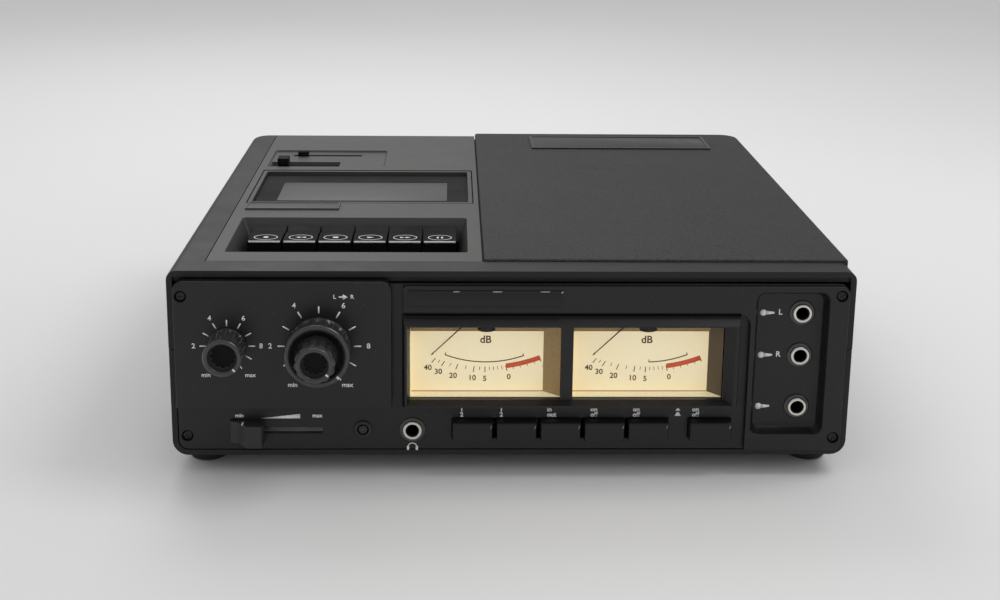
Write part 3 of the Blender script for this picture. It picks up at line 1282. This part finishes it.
def spindles():
    """Each spindle: reel table under the plate, shaft through it, and a splined hub with a round tip."""
    for name, side in (("supply_spindle", -1), ("take_up_spindle", 1)):
        at = (CASSETTE_MIDDLE + side * HUB_SPACING / 2, HUB_DEPTH, 0)
        hub_low = CHASSIS_TOP + FIT
        body = turned(
            name,
            [
                (0, SPINDLE_TOP), (SPINDLE_HUB_RADIUS * 0.5, SPINDLE_TOP - FIT),
                (SPINDLE_HUB_RADIUS * 0.85, SPINDLE_TOP - SPINDLE_HUB_RADIUS / 2),
                (SPINDLE_HUB_RADIUS, SPINDLE_TOP - SPINDLE_HUB_RADIUS), (SPINDLE_HUB_RADIUS, hub_low),
                (SPINDLE_SHAFT_RADIUS, hub_low), (SPINDLE_SHAFT_RADIUS, REEL_TABLE_TOP),
                (REEL_TABLE_RADIUS, REEL_TABLE_TOP), (REEL_TABLE_RADIUS, REEL_TABLE_TOP - REEL_TABLE_THICKNESS),
                (0, REEL_TABLE_TOP - REEL_TABLE_THICKNESS),
            ],
            BLACK_PLASTIC, at=at, steps=SMALL_STEPS)
        half = SPINDLE_SPLINE_WIDTH / 2
        for n in range(SPLINE_COUNT):
            spoke = rectangle(half, SPINDLE_SPLINE_RADIUS, -half, half)
            turn = Matrix.Rotation(2 * math.pi * n / SPLINE_COUNT, 2)
            fin = [tuple(turn @ Vector(point)) for point in spoke]
            join(body, slab(
                f"{name}_spline_{n}", [fin], hub_low + FIT, SPINDLE_TOP - SPINDLE_HUB_RADIUS, at=at))


def capstan_and_motor():
    flywheel_low = FLYWHEEL_TOP - FLYWHEEL_THICKNESS
    web_top = flywheel_low + (FLYWHEEL_THICKNESS + FLYWHEEL_WEB) / 2
    web_low = web_top - FLYWHEEL_WEB
    hub = BEARING_RADIUS
    turned(
        "capstan_flywheel",
        [
            (0, CAPSTAN_TOP), (CAPSTAN_RADIUS, CAPSTAN_TOP - CAPSTAN_RADIUS / 2), (CAPSTAN_RADIUS, FLYWHEEL_TOP),
            (hub, FLYWHEEL_TOP), (hub, web_top), (FLYWHEEL_RADIUS - FLYWHEEL_RIM, web_top),
            (FLYWHEEL_RADIUS - FLYWHEEL_RIM, FLYWHEEL_TOP), (FLYWHEEL_RADIUS, FLYWHEEL_TOP),
            (FLYWHEEL_RADIUS, flywheel_low), (FLYWHEEL_RADIUS - FLYWHEEL_RIM, flywheel_low),
            (FLYWHEEL_RADIUS - FLYWHEEL_RIM, web_low), (hub, web_low),
            (hub, flywheel_low), (CAPSTAN_RADIUS, flywheel_low - FLYWHEEL_TAIL), (0, flywheel_low - FLYWHEEL_TAIL),
        ],
        BRASS, at=(CAPSTAN_X, CAPSTAN_DEPTH, 0), steps=ROUND_STEPS)
    motor_at = (MOTOR_X, MOTOR_DEPTH_PLACE, 0)
    collar = MOTOR_SHAFT_RADIUS * 4
    turned(
        "motor",
        [
            (0, MOTOR_SHAFT_TOP), (MOTOR_SHAFT_RADIUS, MOTOR_SHAFT_TOP),
            (MOTOR_SHAFT_RADIUS, MOTOR_TOP + MOTOR_SHAFT_RADIUS), (collar, MOTOR_TOP + MOTOR_SHAFT_RADIUS),
            (collar, MOTOR_TOP), (MOTOR_RADIUS - MOTOR_SHAFT_RADIUS, MOTOR_TOP),
            (MOTOR_RADIUS, MOTOR_TOP - MOTOR_SHAFT_RADIUS), (MOTOR_RADIUS, MOTOR_BOTTOM),
            (0, MOTOR_BOTTOM),
        ],
        STEEL, at=motor_at, steps=ROUND_STEPS)
    belt_middle = FLYWHEEL_TOP - FLYWHEEL_THICKNESS / 2
    belt_low = belt_middle - BELT_HEIGHT / 2
    belt_high = belt_middle + BELT_HEIGHT / 2
    bore = MOTOR_SHAFT_RADIUS + FIT
    flange = PULLEY_RADIUS + PULLEY_FLANGE
    turned(
        "motor_pulley",
        [
            (bore, belt_high + FIT + PULLEY_FLANGE / 2), (flange, belt_high + FIT + PULLEY_FLANGE / 2),
            (flange, belt_high + FIT), (PULLEY_RADIUS, belt_high + FIT), (PULLEY_RADIUS, belt_low - FIT),
            (flange, belt_low - FIT), (flange, belt_low - FIT - PULLEY_FLANGE / 2),
            (bore, belt_low - FIT - PULLEY_FLANGE / 2),
        ],
        BRASS, at=motor_at, steps=SMALL_STEPS)
    outer = belt_loop(FIT + BELT_THICKNESS)
    inner = belt_loop(FIT)
    slab("drive_belt", [outer, inner], belt_low, belt_high, RUBBER)


def belt_loop(offset):
    """The belt's line round the flywheel and the pulley, joined by its two tangents."""
    wheel = Vector((CAPSTAN_X, CAPSTAN_DEPTH))
    pulley = Vector((MOTOR_X, MOTOR_DEPTH_PLACE))
    line = pulley - wheel
    heading = math.atan2(line.y, line.x)
    lean = math.acos((FLYWHEEL_RADIUS - PULLEY_RADIUS) / line.length)
    points = []
    wheel_steps = 30
    for n in range(wheel_steps + 1):
        angle = heading + lean + (2 * math.pi - 2 * lean) * n / wheel_steps
        points.append(tuple(wheel + (FLYWHEEL_RADIUS + offset) * Vector((math.cos(angle), math.sin(angle)))))
    pulley_steps = 6
    for n in range(pulley_steps + 1):
        angle = heading - lean + 2 * lean * n / pulley_steps
        points.append(tuple(pulley + (PULLEY_RADIUS + offset) * Vector((math.cos(angle), math.sin(angle)))))
    return points


def heads():
    """The sliding bridge with its two heads."""
    low = CHASSIS_TOP + FIT
    high = low + BRIDGE_THICKNESS
    bridge = slab(
        "head_bridge",
        [rectangle(BRIDGE_LEFT, BRIDGE_RIGHT, BRIDGE_FRONT, BRIDGE_BACK, BRIDGE_THICKNESS)],
        low, high, STEEL)
    join(bridge, block(
        "bridge_lip", (BRIDGE_LEFT + BRIDGE_THICKNESS, BRIDGE_FRONT, low + BRIDGE_THICKNESS / 2),
        (BRIDGE_RIGHT - BRIDGE_THICKNESS, BRIDGE_FRONT + BRIDGE_THICKNESS, high + BRIDGE_THICKNESS * 2)))
    seat = high + FIT
    for name, middle, width in (
        ("record_play_head", CASSETTE_MIDDLE, HEAD_WIDTH), ("erase_head", ERASE_X, ERASE_WIDTH),
    ):
        half = width / 2
        nose = filleted([
            (middle - half, HEAD_FRONT, 0), (middle + half, HEAD_FRONT, 0),
            (middle + half, HEAD_BACK - half / 2, 0), (middle + half / 2, HEAD_BACK, half / 2),
            (middle - half / 2, HEAD_BACK, half / 2), (middle - half, HEAD_BACK - half / 2, 0),
        ])
        slab(name, [nose], seat, seat + HEAD_RISE, NICKEL)


def pinch():
    """The arm turns on a post of the plate, and its pin carries the rubber roller."""
    low = CHASSIS_TOP + FIT
    high = low + BRIDGE_THICKNESS
    pivot = Vector((PINCH_PIVOT_X, PINCH_PIVOT_DEPTH))
    roller = Vector((PINCH_ROLLER_X, PINCH_ROLLER_DEPTH))
    along = (roller - pivot).normalized()
    across = Vector((-along.y, along.x)) * PINCH_ARM_WIDTH / 2
    reach = PINCH_ARM_WIDTH / 2
    corners = [
        pivot - along * reach + across, roller + along * reach + across,
        roller + along * reach - across, pivot - along * reach - across,
    ]
    outline = filleted([(*(corner - pivot), reach * 0.9) for corner in corners])
    arm = slab("pinch_arm", [outline], low, high, STEEL, at=(*pivot, 0))
    roller_low = high + FIT
    roller_high = roller_low + PINCH_ROLLER_HEIGHT
    join(arm, rod(
        "pinch_pin", PINCH_PIN_RADIUS, low + FIT, roller_high + BRIDGE_THICKNESS, at=(*roller, 0), steps=12))
    join(arm, rod(
        "pinch_hub", PINCH_ARM_WIDTH / 2 * 0.8, low + FIT, high + BRIDGE_THICKNESS * 2, at=(*pivot, 0), steps=12))
    bore = PINCH_PIN_RADIUS + FIT
    turned(
        "pinch_roller",
        [
            (bore, roller_high), (PINCH_ROLLER_RADIUS, roller_high), (PINCH_ROLLER_RADIUS, roller_low),
            (bore, roller_low),
        ],
        RUBBER, at=(*roller, 0), steps=SMALL_STEPS)


def circuit_board():
    board = slab(
        "circuit_board",
        [rectangle(BOARD_LEFT, BOARD_RIGHT, BOARD_FRONT, BOARD_BACK)],
        BOARD_HEIGHT, BOARD_HEIGHT + BOARD_THICKNESS, BOARD_GREEN)
    top = BOARD_HEIGHT + BOARD_THICKNESS
    for n in range(3):
        join(board, rod(
            f"capacitor_{n}", CAPACITOR_RADIUS, top - BOARD_THICKNESS / 2, top + CAPACITOR_RISE,
            at=(BOARD_RIGHT - CAPACITOR_RADIUS * 2, BOARD_BACK - CAPACITOR_RADIUS * (3 + 3 * n), 0)))
    for n in range(4):
        x = BOARD_LEFT + CAPACITOR_RADIUS * (2 + 4 * n)
        join(board, block(
            f"chip_{n}", (x, BOARD_FRONT + CAPACITOR_RADIUS * 3, top - BOARD_THICKNESS / 2),
            (x + CAPACITOR_RADIUS * 2, BOARD_FRONT + CAPACITOR_RADIUS * 4, top + CAPACITOR_RADIUS / 2)))


def line_sockets():
    """A row of phono sockets behind the rear wall's window."""
    face = CASE_DEPTH - SOCKET_SINK
    left = SOCKET_FIRST_X - SOCKET_MARGIN - WALL
    right = socket_x(SOCKET_COUNT - 1) + SOCKET_MARGIN + WALL
    low = SOCKET_HEIGHT - SOCKET_MARGIN - WALL
    high = SOCKET_HEIGHT + SOCKET_MARGIN + WALL
    base = block("line_sockets", (left, face - SOCKET_BLOCK_DEPTH, low), (right, face, high), BLACK_PLASTIC)
    rim = slab(
        "socket_rim",
        [rectangle(left, right, low, high), rectangle(left + WALL, right - WALL, low + WALL, high - WALL)],
        FIT + WALL - CASE_DEPTH, OVERRUN - face, turn=FRONT)
    join(base, rim)
    for n in range(SOCKET_COUNT):
        at = (socket_x(n), face, SOCKET_HEIGHT)
        tube = turned(
            f"socket_{n}",
            [
                (SOCKET_BORE, SOCKET_SINK - OVERRUN), (SOCKET_RADIUS, SOCKET_SINK - OVERRUN),
                (SOCKET_RADIUS, -OVERRUN), (SOCKET_BORE, -OVERRUN),
            ],
            at=at, turn=(-math.pi / 2, 0, 0), steps=12)
        join(base, tube)


bottom_case()
top_frame()
deck_panel()
top_pad()
front_panel()
feet()
battery_cover()
meters()
knobs()
phones_slider()
lamp_and_jacks()
push_buttons()
keys()
lid()
rear_slides()
transport_chassis()
spindles()
capstan_and_motor()
heads()
pinch()
circuit_board()
line_sockets()
